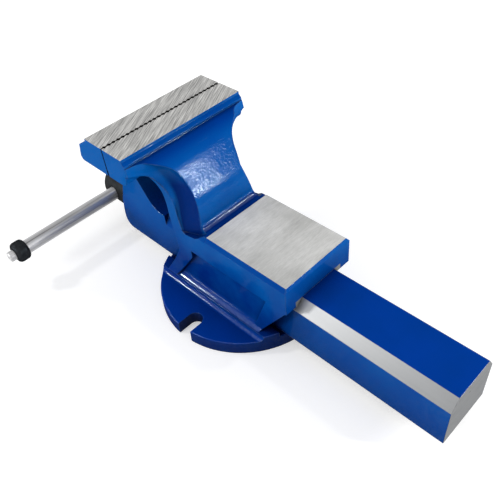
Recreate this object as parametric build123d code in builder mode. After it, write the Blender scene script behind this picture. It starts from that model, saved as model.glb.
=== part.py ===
from build123d import *
from math import cos, radians
import os

# Bolt-down bench vise with a prismatic slide and 150 mm jaws.
# Frame: origin at the centre of the base flange's underside, +X along the slide towards its
# closed rear end, +Y across the jaws, +Z up. Millimetres.

os.makedirs("parts", exist_ok=True)

# ---------------------------------------------------------------- driving dimensions

# Jaws
jaw_width = 150.0  # length of the gripping line
jaw_top = 180.5  # ground top of both jaws above the bench
jaw_block_height = 31.0
bite_x = -92.0  # gripping plane of the fixed jaw
jaw_gap = 1.8  # between the two gripping planes as the vise is stored
fixed_jaw_land = 28.6  # width of the ground top, jaw plate included
sliding_jaw_land = 26.5
land_step = 2.9  # drop from the ground top to the painted shoulder
shoulder_run = 3.2  # slope of the fixed jaw's painted shoulder, out from the land
shoulder_drop = 3.4
ledge_height = 2.4  # vertical edge of that shoulder
ledge_overhang = 2.2  # the ledge stands this far out of the block's rear face
jaw_round = 9.0  # rounding of the jaw blocks' lower corners
sliding_shoulder_run = 13.9  # slope of the sliding jaw's shoulder
sliding_shoulder_drop = 8.6
sliding_block_lean = 5.5  # its front face leans out this much more at the bottom

# Jaw plates
plate_thickness = 12.0
plate_height = 24.0
plate_underhang = 0.5  # the plates stand this far proud of the castings below them
serration_pitch = 5.5  # along the gripping line
serration_depth = 1.3
serration_over = 0.3  # the serration cutters start this far outside the plate
serration_margin = 2.5  # plain band at each end of a plate
plate_screw_spacing = 90.0
plate_screw_drop = 12.0  # below the jaw's top
plate_screw_r = 4.0
plate_screw_length = 19.0
plate_screw_head_r = 7.5
plate_screw_sink = 1.6  # head below the gripping plane

# Base flange
flange_r = 93.0
flange_thickness = 14.4
flange_draft = 2.0  # degrees
flange_edge_round = 1.2
slot_width = 17.0
slot_x = 4.0  # the bolt slots lie this far behind the flange's centre
slot_end_y = 77.5  # centre of each slot's round end

# Slide bar
bar_width = 62.6
bar_height = 58.5
bar_corner_y = 8.3  # ground bevels on the bar's upper corners
bar_corner_z = 12.7
bar_rear_x = 261.7
bar_side_wall = 9.0
bar_roof = 9.0
bar_end_wall = 12.0
channel_round = 4.0  # upper corners of the bar's hollow
way_height = 1.0  # machined floor of the tunnel above the flange
way_half_width = 36.0
plinth_height = 5.2  # raised beds under the tunnel walls, above the flange
plinth_half = 51.0  # half spread of their tops
plinth_foot_half = 56.5  # and of the hollow fillets at their feet
way_front_x = -80.0
way_clearance = 0.3  # bar to the tunnel's floor and roof
side_clearance = 0.4  # bar to the tunnel's walls

# Fixed body, below the jaws
body_half_width = 45.0  # anvil, side strips and front plate
anvil_top = 99.7
anvil_front_x = -0.4
anvil_rear_x = 103.2
anvil_edge_y = 3.4  # painted bevels round the ground anvil
anvil_edge_x = 1.8
anvil_edge_z = 4.2
anvil_step = 1.0  # the ground pad stands above the casting in front of it
strip_bottom = 68.0  # lower edge of the side strips
strip_front_x = -29.0  # where the strips spring from the front plate
strip_front_top = 88.6
strip_bend_x = -15.8
strip_bend_top = 91.0
leg_top_x = -46.4  # front edge of the front legs
leg_top_z = 58.6
leg_foot_x = -71.7
leg_top_width = 20.0
leg_foot_width = 14.0
leg_foot_half = 50.8  # half spread of the legs where they run out on the beds
leg_flare_z = 40.0  # they start to spread below this height
rib_top_inset = 1.6  # rear edge of the rear ribs, in from the anvil's rear face
rib_foot_x = 64.7
rib_top_width = 24.0
rib_foot_width = 8.0
rib_foot_half = 46.5
rib_flare_z = 34.0
wall_top_half = 38.0  # tunnel walls in the recesses between legs and ribs
wall_bend_half = 43.0
wall_bend_z = 28.0
wall_foot_half = 50.0

# Hand-drawn curves of the castings: distance behind the gripping plane, height over the
# underside of the jaw block.
throat_curve = ((22.6, 0.0), (34.5, -13.0), (39.4, -26.5), (40.6, -45.0))
plate_back_curve = ((41.0, -4.5), (50.0, -19.5), (54.0, -37.5), (56.2, -54.5))
web_back_curve = ((46.1, 19.3), (59.1, 0.5), (71.3, -21.5), (78.1, -44.5))
# The same heights against half widths.
plate_flare = ((45.0, -24.0), (46.4, -12.0), (51.5, 0.0), (60.5, 8.6), (75.0, 13.0))
# The web's level sections: height, then distance and half width at the front plate's back
# and again at the web's own back.
web_sections = (
    (-70.0, (57.0, 45.0), (84.0, 36.5)),
    (-45.0, (55.1, 45.0), (78.2, 35.6)),
    (-33.0, (53.1, 45.0), (75.3, 33.6)),
    (-22.0, (50.7, 45.2), (71.5, 32.0)),
    (-11.0, (46.0, 46.6), (65.6, 31.3)),
    (0.0, (39.4, 51.5), (59.4, 32.8)),
    (8.6, (36.2, 60.5), (54.0, 36.2)),
    (13.4, (34.6, 73.0), (50.6, 40.4)),
    (17.0, (33.4, 82.0), (48.0, 45.4)),
    (20.0, (32.4, 87.0), (44.5, 51.0)),
    (24.0, (31.0, 90.0), (38.5, 62.0)),
)
web_hollow = 0.55  # pull of the hollow in the web's sides, as a share of their run
web_inset = 0.5  # the hollow starts this far inside the plate's edge
web_past = 12.0  # the sections run this far past the web's back, to be trimmed by its side view
web_root_run = 4.0  # the web's root fillet ends this far in front of the anvil

# Sliding jaw's neck and front
neck_front_curve = ((45.9, 2.5), (54.5, -37.5), (63.3, -73.5), (71.5, -98.5))
neck_front_reach = 75.0  # front of the boss block, from the gripping plane
neck_back_curve = ((9.0, 0.0), (20.5, -20.0), (25.0, -43.0), (17.0, -63.0))
neck_root_x = -84.0  # the neck's rear fillet runs out on the bar here
neck_flare = ((31.3, -72.0), (35.0, -36.0), (68.0, 0.0))
front_boss_x = -170.4  # spot face for the thrust washer
front_boss_r = 29.0
front_wall = 24.0
front_corner_round = 12.0

# Screw and nut
spindle_z = 45.0
thread_r = 12.0
journal_r = 13.0
screw_rear_x = 235.0
screw_end_bevel = 3.0
running_clearance = 0.05
nut_x = 10.0
nut_length = 60.0
nut_width = 40.0
nut_cover = 4.0  # metal above the thread
nut_flange_width = 92.0
nut_flange_height = 6.6
nut_flange_lift = 0.5  # the nut's flange stays this far above the bench
nut_fit = 0.3
nut_screw_r = 4.0
nut_screw_head_r = 7.4
nut_screw_length = 24.0
nut_screw_spacing_x = 40.0
nut_screw_spacing_y = 77.0

# Spindle head and retainer
head_r = 25.0
head_length = 43.2
head_edge_round = 5.0
handle_hole_from_rear = 22.2
head_stub_r = 12.0
head_stub_length = 12.5
head_pin_r = 2.5
washer_thickness = 2.5
washer_r = 27.0
bearing_clearance = 0.1
spring_length = 14.0
spring_wire_r = 1.4
spring_turns = 3.5
spring_seat_thickness = 2.0
collar_length = 11.0
collar_r = 18.5
collar_pin_r = 2.5
pin_inset = 0.5  # the pins end this far below the surface

# Handle
handle_r = 8.0
handle_length = 290.0
handle_near_tip_y = -168.0
handle_hole_clearance = 0.1
spigot_r = 6.0
spigot_length = 22.0
tip_round = 2.0
ring_r = 12.0
ring_length = 15.0
ring_round = 4.5

socket_share = 0.72  # hexagon socket's corner radius over the screw's radius

merge = 5.0  # how far the regions of a casting reach into each other

# ---------------------------------------------------------------- derived places

bar_half = bar_width / 2
floor_z = flange_thickness + way_height
bar_bottom = floor_z + way_clearance
bar_top = bar_bottom + bar_height
root_z = flange_thickness - merge
plinth_z = flange_thickness + plinth_height
jaw_bottom = jaw_top - jaw_block_height
shoulder_z = jaw_top - land_step
anvil_step_z = anvil_top - anvil_step
land_rear_x = bite_x + fixed_jaw_land
ledge_x = land_rear_x + shoulder_run
ledge_z = shoulder_z - shoulder_drop
under_ledge_z = ledge_z - ledge_height
block_rear_x = ledge_x - ledge_overhang
rib_top_x = anvil_rear_x - rib_top_inset
sliding_bite_x = bite_x - jaw_gap
channel_half = bar_half - bar_side_wall
channel_front_x = front_boss_x + front_wall
channel_rear_x = bar_rear_x - bar_end_wall
channel_roof = bar_top - bar_roof
head_rear_x = front_boss_x - washer_thickness - 2 * bearing_clearance
handle_x = head_rear_x - handle_hole_from_rear
spring_rear_x = channel_front_x + spring_length
collar_front_x = spring_rear_x + spring_seat_thickness + bearing_clearance
collar_rear_x = collar_front_x + collar_length
handle_far_tip_y = handle_near_tip_y + handle_length
far_reach = jaw_width + flange_r  # longer than any cut across the vise


def behind_bite(curve):
    """Points of a fixed-jaw curve in the XZ plane."""
    return [(bite_x + run, jaw_bottom + height) for run, height in curve]


def before_bite(curve):
    """Points of a sliding-jaw curve in the XZ plane."""
    return [(sliding_bite_x - run, jaw_bottom + height) for run, height in curve]


def bar_outline(grow_y, grow_z, bottom):
    """The slide bar's section in the YZ plane, grown for the tunnel it runs in."""
    half = bar_half + grow_y
    top = bar_top + grow_z
    Polyline(
        (-half, bottom),
        (half, bottom),
        (half, top - bar_corner_z),
        (half - bar_corner_y, top),
        (-half + bar_corner_y, top),
        (-half, top - bar_corner_z),
        close=True,
    )


def bevelled_outline(top):
    """The anvil's section in the YZ plane, with its painted bevels."""
    Polyline(
        (-body_half_width, strip_bottom),
        (body_half_width, strip_bottom),
        (body_half_width, top - anvil_edge_z),
        (body_half_width - anvil_edge_y, top),
        (-body_half_width + anvil_edge_y, top),
        (-body_half_width, top - anvil_edge_z),
        close=True,
    )


def spreading_outline(top_half, bend_half, bend_z, foot_half):
    """Walls in the YZ plane that spread in a hollow curve down to the raised beds."""
    top_z = strip_bottom + merge
    for side in (-1, 1):
        bend = (side * bend_half, bend_z)
        foot = (side * foot_half, plinth_z)
        Line((side * top_half, top_z), bend)
        TangentArc(bend, foot, tangent=(side * (bend_half - top_half), bend_z - top_z))
        Line(foot, (side * foot_half, root_z))
    Line((-top_half, top_z), (top_half, top_z))
    Line((-foot_half, root_z), (foot_half, root_z))


def flaring_outline(flare, z_below):
    """A neck in the YZ plane that spreads upwards to the jaw along a flare curve."""
    half_below = flare[0][0]
    half_above = flare[-1][0]
    for side in (-1, 1):
        spread = Spline(*[(side * half, jaw_bottom + height) for half, height in flare])
        Line((side * half_below, z_below), spread @ 0)
        Line(spread @ 1, (side * half_above, jaw_top))
    Line((-half_below, z_below), (half_below, z_below))
    Line((-half_above, jaw_top), (half_above, jaw_top))


def countersunk_screws(seats, head_r, shank_r, length):
    """Hexagon-socket countersunk screws, one on each seat plane, driven along its -Z."""
    head = head_r - shank_r
    for seat in seats:
        with Locations(seat):
            Cylinder(shank_r, length, align=(Align.CENTER, Align.CENTER, Align.MAX))
            Cone(shank_r, head_r, head, align=(Align.CENTER, Align.CENTER, Align.MAX))
        with BuildSketch(seat) as socket:
            RegularPolygon(radius=shank_r * socket_share, side_count=6)
        extrude(socket.sketch, amount=-head, mode=Mode.SUBTRACT)


def jaw_plate(grip_x, away, seats):
    """Hardened plate with crossed serrations; its back lies on the away side of grip_x."""
    across = serration_pitch * cos(radians(45))
    reach = jaw_width / 2 + plate_height
    grooves = 2 * int(reach * cos(radians(45)) / across) + 1
    with BuildPart(mode=Mode.PRIVATE) as teeth:
        for lean in (-1, 1):
            run = Plane(origin=(grip_x, 0, jaw_top), x_dir=(0, 1, lean), z_dir=(0, -lean, 1))
            inward = away * run.y_dir.X
            with BuildSketch(run) as rows:
                with GridLocations(across, 1, grooves, 1):
                    Polygon(
                        (-serration_depth - serration_over, -inward * serration_over),
                        (serration_depth + serration_over, -inward * serration_over),
                        (0, inward * serration_depth),
                        align=None,
                    )
            extrude(rows.sketch, amount=reach, both=True)
        with Locations((grip_x, 0, jaw_top)):
            Box(plate_thickness, jaw_width - 2 * serration_margin, reach, mode=Mode.INTERSECT)
    with Locations((grip_x + away * plate_thickness / 2, 0, jaw_top - plate_height / 2)):
        Box(plate_thickness, jaw_width, plate_height)
    add(teeth.part, mode=Mode.SUBTRACT)
    with BuildSketch(*seats) as sinks:
        Circle(plate_screw_head_r + running_clearance)
    extrude(sinks.sketch, amount=plate_screw_sink, mode=Mode.SUBTRACT)
    with Locations(*seats):
        CounterSinkHole(
            plate_screw_r + running_clearance,
            plate_screw_head_r + running_clearance,
            counter_sink_angle=90,
        )


def plate_seats(grip_x, away):
    """Planes on the screw heads of one jaw plate, facing out of the gripping plane."""
    seat_x = grip_x + away * plate_screw_sink
    seat_z = jaw_top - plate_screw_drop
    half_spacing = plate_screw_spacing / 2
    return [Plane((seat_x, side * half_spacing, seat_z), z_dir=(-away, 0, 0)) for side in (-1, 1)]


def web_section(front_x, front_half, rear_x, rear_half):
    """Level section of the web: a slab that narrows in two hollow curves from front to rear."""
    Polyline(
        (front_x, -front_half),
        (front_x - merge, -front_half),
        (front_x - merge, front_half),
        (front_x, front_half),
    )
    for side in (-1, 1):
        Bezier(
            (front_x, side * front_half),
            (front_x, side * (front_half - web_hollow * (front_half - rear_half))),
            (rear_x - web_hollow * (rear_x - front_x), side * rear_half),
            (rear_x, side * rear_half),
        )
    Polyline(
        (rear_x, -rear_half),
        (rear_x + web_past, -rear_half),
        (rear_x + web_past, rear_half),
        (rear_x, rear_half),
    )


def leg_pair(foot_x, foot_width, top_x, top_width, top_z, foot_half, flare_z):
    """A leg on each side of the tunnel, leaning from the flange up to the side strips."""
    with BuildSketch(Plane.XZ) as leaning:
        with BuildLine():
            Polyline(
                (foot_x, root_z),
                (foot_x, flange_thickness),
                (top_x, top_z),
                (top_x, strip_bottom + merge),
                (top_x + top_width, strip_bottom + merge),
                (top_x + top_width, top_z),
                (foot_x + foot_width, flange_thickness),
                (foot_x + foot_width, root_z),
                close=True,
            )
        make_face()
    extrude(leaning.sketch, amount=foot_half, both=True)
    with BuildSketch(Plane.YZ) as spreading:
        with BuildLine():
            spreading_outline(body_half_width, body_half_width, flare_z, foot_half)
        make_face()
    extrude(spreading.sketch, amount=far_reach, both=True, mode=Mode.INTERSECT)


# ---------------------------------------------------------------- fixed body

with BuildPart() as fixed_jaw_block:
    with BuildSketch(Plane.XZ):
        with BuildLine():
            Polyline(
                (block_rear_x - jaw_round, jaw_bottom),
                (bite_x + plate_underhang, jaw_bottom),
                (bite_x + plate_underhang, jaw_top),
                (land_rear_x, jaw_top),
                (land_rear_x, shoulder_z),
                (ledge_x, ledge_z),
                (ledge_x, under_ledge_z),
                (block_rear_x, under_ledge_z - ledge_overhang),
                (block_rear_x, jaw_bottom + jaw_round),
            )
            CenterArc((block_rear_x - jaw_round, jaw_bottom + jaw_round), jaw_round, 270, 90)
        make_face()
    extrude(amount=jaw_width / 2, both=True)

# Front plate: a curved wall that carries the jaw, hollow towards the slide, flaring to its ends.
with BuildPart() as front_plate:
    with BuildSketch(Plane.XZ):
        with BuildLine():
            throat = Spline(*behind_bite(throat_curve))
            back = Spline((ledge_x, under_ledge_z), *behind_bite(plate_back_curve))
            TangentArc(back @ 1, (strip_front_x, strip_front_top), tangent=back % 1)
            Polyline(
                (strip_front_x, strip_front_top),
                (strip_front_x, leg_top_z),
                (leg_top_x, leg_top_z),
                throat @ 1,
            )
            Polyline(back @ 0, ((throat @ 0).X, under_ledge_z), throat @ 0)
        make_face()
    extrude(amount=jaw_width / 2, both=True)
    with BuildSketch(Plane.YZ):
        with BuildLine():
            flaring_outline(plate_flare, root_z)
        make_face()
    extrude(amount=far_reach, both=True, mode=Mode.INTERSECT)

# Web: the thick neck behind the front plate, hollow at its sides, running down onto the anvil.
with BuildPart() as web:
    for height, (plate_run, plate_half), (web_run, web_half) in web_sections:
        with BuildSketch(Plane.XY.offset(jaw_bottom + height)):
            with BuildLine():
                web_section(bite_x + plate_run, plate_half - web_inset, bite_x + web_run, web_half)
            make_face()
    loft()
    with BuildSketch(Plane.XZ):
        with BuildLine():
            slope = Spline((ledge_x, under_ledge_z), *behind_bite(web_back_curve))
            root_end = (anvil_front_x - web_root_run, anvil_step_z)
            root = TangentArc(slope @ 1, root_end, tangent=slope % 1)
            Polyline(
                root @ 1,
                ((root @ 1).X, strip_front_top - merge),
                (back.position_at(0.8).X - merge, strip_front_top - merge),
                (back.position_at(0.5).X - merge, back.position_at(0.5).Y),
                (back.position_at(0.2).X - merge, back.position_at(0.2).Y),
                (ledge_x - merge, under_ledge_z),
                slope @ 0,
            )
        make_face()
    extrude(amount=jaw_width / 2, both=True, mode=Mode.INTERSECT)

# Casting between the front plate and the ground anvil.
with BuildPart() as anvil_shoulder:
    with BuildSketch(Plane.XZ):
        with BuildLine():
            Polyline(
                (strip_front_x - merge, strip_bottom),
                (anvil_front_x + merge, strip_bottom),
                (anvil_front_x + merge, anvil_step_z),
                (anvil_front_x - web_root_run, anvil_step_z),
                (strip_bend_x, strip_bend_top),
                (strip_front_x, strip_front_top),
                (strip_front_x - merge, strip_front_top),
                close=True,
            )
        make_face()
    extrude(amount=body_half_width, both=True)
    with BuildSketch(Plane.YZ):
        with BuildLine():
            bevelled_outline(anvil_step_z)
        make_face()
    extrude(amount=far_reach, both=True, mode=Mode.INTERSECT)

with BuildPart() as anvil:
    with BuildSketch(Plane.YZ.offset(anvil_front_x)):
        with BuildLine():
            bevelled_outline(anvil_top)
        make_face()
    extrude(amount=anvil_rear_x - anvil_front_x)
    with BuildSketch(Plane.XZ):
        with BuildLine():
            Polyline(
                (anvil_rear_x, anvil_top - anvil_edge_z),
                (anvil_rear_x, anvil_top),
                (anvil_rear_x - anvil_edge_x, anvil_top),
                close=True,
            )
        make_face()
    extrude(amount=far_reach, both=True, mode=Mode.SUBTRACT)

# Raised beds on the flange, one along each side of the way, that carry walls, legs and ribs.
with BuildPart() as plinth:
    with BuildSketch():
        Circle(flange_r)
    extrude(amount=plinth_z, taper=flange_draft)
    fillet(plinth.edges().sort_by(Axis.Z)[-1], flange_edge_round)
    with BuildSketch(Plane.YZ) as beds:
        inner = way_half_width + way_height
        for side in (-1, 1):
            foot = (side * plinth_foot_half, flange_thickness)
            with BuildLine():
                TangentArc(foot, (side * plinth_half, plinth_z), tangent=(-side, 0))
                Polyline(
                    (side * plinth_half, plinth_z),
                    (side * inner, plinth_z),
                    (side * inner, root_z),
                    (side * plinth_foot_half, root_z),
                    foot,
                )
            make_face()
    extrude(beds.sketch, amount=far_reach, both=True, mode=Mode.INTERSECT)

# Tunnel walls: thin in the recesses, thick at the front legs and the rear ribs.
with BuildPart() as tunnel_walls:
    with BuildSketch(Plane.XZ):
        with BuildLine():
            Polyline(
                (leg_foot_x, root_z),
                (leg_foot_x, flange_thickness),
                (leg_top_x, leg_top_z),
                (leg_top_x, strip_bottom + merge),
                (rib_top_x, strip_bottom + merge),
                (rib_top_x, strip_bottom),
                (rib_foot_x, flange_thickness),
                (rib_foot_x, root_z),
                close=True,
            )
        make_face()
    extrude(amount=wall_foot_half, both=True)
    with BuildSketch(Plane.YZ):
        with BuildLine():
            spreading_outline(wall_top_half, wall_bend_half, wall_bend_z, wall_foot_half)
        make_face()
    extrude(amount=far_reach, both=True, mode=Mode.INTERSECT)

with BuildPart() as front_legs:
    leg_pair(
        leg_foot_x,
        leg_foot_width,
        leg_top_x,
        leg_top_width,
        leg_top_z,
        leg_foot_half,
        leg_flare_z,
    )

with BuildPart() as rear_ribs:
    leg_pair(
        rib_foot_x,
        -rib_foot_width,
        rib_top_x,
        -rib_top_width,
        strip_bottom,
        rib_foot_half,
        rib_flare_z,
    )

nut_corner_x = nut_length / 2 + nut_fit
with Locations(Plane((nut_x, 0, nut_flange_lift), z_dir=(0, 0, -1))):
    nut_screw_grid = GridLocations(nut_screw_spacing_x, nut_screw_spacing_y, 2, 2)
    nut_screw_seats = [Plane(place) for place in nut_screw_grid]

with BuildPart() as fixed_body:
    with BuildSketch():
        Circle(flange_r)
    extrude(amount=flange_thickness, taper=flange_draft)
    fillet(fixed_body.edges().sort_by(Axis.Z)[-1], flange_edge_round)
    # Machined floor that the slide runs on
    way_length = rib_foot_x - way_front_x
    with Locations((way_front_x + way_length / 2, 0, root_z)):
        Box(way_length, 2 * way_half_width, floor_z - root_z, align=(Align.CENTER, Align.CENTER, Align.MIN))
    add([plinth.part, tunnel_walls.part, front_legs.part, rear_ribs.part])
    add([anvil_shoulder.part, anvil.part])
    add([front_plate.part, web.part, fixed_jaw_block.part])
    # Tunnel for the slide bar
    with BuildSketch(Plane.YZ):
        with BuildLine():
            bar_outline(side_clearance, way_clearance, floor_z)
        make_face()
    extrude(amount=far_reach, both=True, mode=Mode.SUBTRACT)
    # Open bolt slots
    with BuildSketch():
        for side in (-1, 1):
            with Locations((slot_x, side * slot_end_y)):
                Circle(slot_width / 2)
            with Locations((slot_x, side * (slot_end_y + flange_r / 2))):
                Rectangle(slot_width, flange_r)
    extrude(amount=floor_z, mode=Mode.SUBTRACT)
    # Seat for the nut: window in the floor, recess for its flange under it
    with BuildSketch():
        with Locations((nut_x, 0)):
            Rectangle(2 * nut_corner_x, nut_width + 2 * nut_fit)
    extrude(amount=floor_z, mode=Mode.SUBTRACT)
    with BuildSketch():
        with Locations((nut_x, 0)):
            Rectangle(2 * nut_corner_x, nut_flange_width + 2 * nut_fit)
    extrude(amount=nut_flange_lift + nut_flange_height, mode=Mode.SUBTRACT)
    with Locations(*nut_screw_seats):
        Hole(nut_screw_r + running_clearance, depth=nut_screw_length + bearing_clearance)
    # Seat for the jaw plate, with its tapped holes
    with Locations((bite_x, 0, jaw_top)):
        Box(
            2 * plate_thickness,
            jaw_width + merge,
            2 * plate_height,
            mode=Mode.SUBTRACT,
        )
    with Locations(*plate_seats(bite_x, 1)):
        Hole(plate_screw_r + running_clearance, depth=plate_screw_length + bearing_clearance)

# ---------------------------------------------------------------- sliding jaw

front_x = sliding_bite_x - neck_front_reach
sliding_land_x = sliding_bite_x - sliding_jaw_land
sliding_ledge_x = sliding_land_x - sliding_shoulder_run
sliding_ledge_z = shoulder_z - sliding_shoulder_drop
sliding_foot_x = sliding_ledge_x - sliding_block_lean
corner_x = front_x + front_corner_round
corner_z = bar_bottom + front_corner_round

with BuildPart() as sliding_jaw_block:
    with BuildSketch(Plane.XZ) as sliding_block_side:
        with BuildLine():
            Polyline(
                (sliding_bite_x - plate_underhang, jaw_bottom),
                (sliding_bite_x - plate_underhang, jaw_top),
                (sliding_land_x, jaw_top),
                (sliding_land_x, shoulder_z),
                (sliding_ledge_x, sliding_ledge_z),
                (sliding_foot_x, jaw_bottom),
                close=True,
            )
        make_face()
        fillet(sliding_block_side.vertices().sort_by(Axis.X)[0], jaw_round / 2)
    extrude(amount=jaw_width / 2, both=True)

# Neck between the slide bar and the jaw
with BuildPart() as neck:
    with BuildSketch(Plane.XZ):
        with BuildLine():
            nose = Spline(*before_bite(neck_front_curve), (front_x, corner_z))
            nape = Spline(*before_bite(neck_back_curve), (neck_root_x, bar_top))
            Polyline(nape @ 1, (neck_root_x, bar_top - bar_corner_z), nose @ 1)
            Polyline(
                nose @ 0,
                (sliding_foot_x + jaw_round, jaw_bottom + merge),
                ((nape @ 0).X, jaw_bottom + merge),
                nape @ 0,
            )
        make_face()
    extrude(amount=jaw_width / 2, both=True)
    with BuildSketch(Plane.YZ):
        with BuildLine():
            flaring_outline(neck_flare, root_z)
        make_face()
    extrude(amount=far_reach * 2, both=True, mode=Mode.INTERSECT)

with BuildPart() as sliding_jaw:
    with BuildSketch(Plane.YZ.offset(front_x)):
        with BuildLine():
            bar_outline(0, 0, bar_bottom)
        make_face()
    extrude(amount=bar_rear_x - front_x)
    # Trim the bar's front end to the nose line of the casting
    with BuildSketch(Plane.XZ):
        with BuildLine():
            add(nose)
            CenterArc((corner_x, corner_z), front_corner_round, 180, 90)
            Polyline(
                (corner_x, bar_bottom),
                (corner_x, bar_bottom - merge),
                (front_x - merge, bar_bottom - merge),
                (front_x - merge, (nose @ 0).Y),
                nose @ 0,
            )
        make_face()
    extrude(amount=far_reach, both=True, mode=Mode.SUBTRACT)
    add([neck.part, sliding_jaw_block.part])
    # Spot-faced boss for the thrust washer
    with BuildSketch(Plane.YZ.offset(front_boss_x)):
        with Locations((0, spindle_z)):
            Circle(front_boss_r)
    extrude(amount=front_wall - merge)
    # Hollow of the slide bar, open below
    with BuildSketch(Plane.YZ.offset(channel_front_x)) as channel:
        with Locations((0, bar_bottom)):
            Rectangle(2 * channel_half, 2 * (channel_roof - bar_bottom))
        fillet(channel.vertices().group_by(Axis.Y)[-1], channel_round)
    extrude(amount=channel_rear_x - channel_front_x, mode=Mode.SUBTRACT)
    # Spindle bearing in the front wall
    with BuildSketch(Plane.YZ.offset(front_boss_x)):
        with Locations((0, spindle_z)):
            Circle(journal_r + running_clearance)
    extrude(amount=front_wall, mode=Mode.SUBTRACT)
    # Seat for the jaw plate, with its tapped holes
    with Locations((sliding_bite_x, 0, jaw_top)):
        Box(
            2 * plate_thickness,
            jaw_width + merge,
            2 * plate_height,
            mode=Mode.SUBTRACT,
        )
    with Locations(*plate_seats(sliding_bite_x, -1)):
        Hole(plate_screw_r + running_clearance, depth=plate_screw_length + bearing_clearance)

# ---------------------------------------------------------------- jaw plates and their screws

with BuildPart() as fixed_jaw_plate:
    jaw_plate(bite_x, 1, plate_seats(bite_x, 1))

with BuildPart() as sliding_jaw_plate:
    jaw_plate(sliding_bite_x, -1, plate_seats(sliding_bite_x, -1))

with BuildPart() as fixed_plate_screws:
    seats = plate_seats(bite_x, 1)
    countersunk_screws(seats, plate_screw_head_r, plate_screw_r, plate_screw_length)

with BuildPart() as sliding_plate_screws:
    seats = plate_seats(sliding_bite_x, -1)
    countersunk_screws(seats, plate_screw_head_r, plate_screw_r, plate_screw_length)

# ---------------------------------------------------------------- nut

with BuildPart() as nut_block:
    with BuildSketch(Plane.XY.offset(nut_flange_lift)):
        with Locations((nut_x, 0)):
            Rectangle(nut_length, nut_flange_width)
    extrude(amount=nut_flange_height)
    with BuildSketch(Plane.XY.offset(nut_flange_lift)):
        with Locations((nut_x, 0)):
            Rectangle(nut_length, nut_width)
    extrude(amount=spindle_z + thread_r + nut_cover - nut_flange_lift)
    with BuildSketch(Plane.YZ):
        with Locations((0, spindle_z)):
            Circle(thread_r + running_clearance)
    extrude(amount=far_reach, both=True, mode=Mode.SUBTRACT)
    with Locations(*nut_screw_seats):
        CounterSinkHole(
            nut_screw_r + running_clearance,
            nut_screw_head_r + running_clearance,
            counter_sink_angle=90,
        )

with BuildPart() as nut_screws:
    countersunk_screws(nut_screw_seats, nut_screw_head_r, nut_screw_r, nut_screw_length)

# ---------------------------------------------------------------- spindle

head_pin_x = head_rear_x - head_stub_length / 2
collar_pin_x = (collar_front_x + collar_rear_x) / 2


def along_screw(x, radius, length):
    """A round bar on the screw's axis, from x towards the rear."""
    with Locations(Plane((x, 0, spindle_z), z_dir=(1, 0, 0))):
        Cylinder(radius, length, align=(Align.CENTER, Align.CENTER, Align.MIN))


def bore_along_screw(x, radius, length):
    """A round bore on the screw's axis, from x towards the rear."""
    with Locations(Plane((x, 0, spindle_z), z_dir=(1, 0, 0))):
        Cylinder(radius, length, align=(Align.CENTER, Align.CENTER, Align.MIN), mode=Mode.SUBTRACT)


def cross_pin(x, radius, half_length, mode=Mode.ADD):
    """An upright pin through the screw's axis, or the hole for one."""
    with Locations((x, 0, spindle_z)):
        Cylinder(radius, 2 * half_length, mode=mode)


with BuildPart() as lead_screw:
    along_screw(head_rear_x - head_stub_length, head_stub_r, head_stub_length)
    along_screw(head_rear_x, journal_r, collar_rear_x + bearing_clearance - head_rear_x)
    along_screw(collar_rear_x, thread_r, screw_rear_x - collar_rear_x)
    chamfer(lead_screw.edges().sort_by(Axis.X)[-1], screw_end_bevel)
    cross_pin(head_pin_x, head_pin_r + running_clearance, head_r, mode=Mode.SUBTRACT)
    cross_pin(collar_pin_x, collar_pin_r + running_clearance, head_r, mode=Mode.SUBTRACT)

with BuildPart() as spindle_head:
    along_screw(head_rear_x - head_length, head_r, head_length)
    fillet(spindle_head.edges().filter_by(GeomType.CIRCLE), head_edge_round)
    bore_along_screw(head_rear_x - head_stub_length, head_stub_r + running_clearance, head_stub_length)
    with Locations((handle_x, 0, spindle_z)):
        Cylinder(
            handle_r + handle_hole_clearance,
            2 * head_r,
            rotation=(90, 0, 0),
            mode=Mode.SUBTRACT,
        )
    cross_pin(head_pin_x, head_pin_r + running_clearance, head_r, mode=Mode.SUBTRACT)

with BuildPart() as head_pin:
    cross_pin(head_pin_x, head_pin_r, head_r - pin_inset)

with BuildPart() as thrust_washer:
    washer_front_x = front_boss_x - bearing_clearance - washer_thickness
    along_screw(washer_front_x, washer_r, washer_thickness)
    bore_along_screw(washer_front_x, journal_r + running_clearance, washer_thickness)

with BuildPart() as spindle_spring:
    coil_r = journal_r + 2 * spring_wire_r
    coil_run = spring_length - 2 * spring_wire_r
    with BuildLine():
        coil = Helix(
            pitch=coil_run / spring_turns,
            height=coil_run,
            radius=coil_r,
            center=(channel_front_x + spring_wire_r, 0, spindle_z),
            direction=(1, 0, 0),
        )
    with BuildSketch(Plane(coil @ 0, z_dir=coil % 0)):
        Circle(spring_wire_r)
    sweep()

with BuildPart() as spring_seat:
    along_screw(spring_rear_x, collar_r, spring_seat_thickness)
    bore_along_screw(spring_rear_x, journal_r + running_clearance, spring_seat_thickness)

with BuildPart() as retaining_collar:
    along_screw(collar_front_x, collar_r, collar_length)
    bore_along_screw(collar_front_x, journal_r + running_clearance, collar_length)
    cross_pin(collar_pin_x, collar_pin_r + running_clearance, head_r, mode=Mode.SUBTRACT)

with BuildPart() as collar_pin:
    cross_pin(collar_pin_x, collar_pin_r, collar_r - pin_inset)

# ---------------------------------------------------------------- handle


def along_handle(y, radius, length, mode=Mode.ADD):
    """A round bar on the handle's axis, from y towards the far side."""
    with Locations(Plane((handle_x, y, spindle_z), z_dir=(0, 1, 0))):
        Cylinder(radius, length, align=(Align.CENTER, Align.CENTER, Align.MIN), mode=mode)


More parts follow.
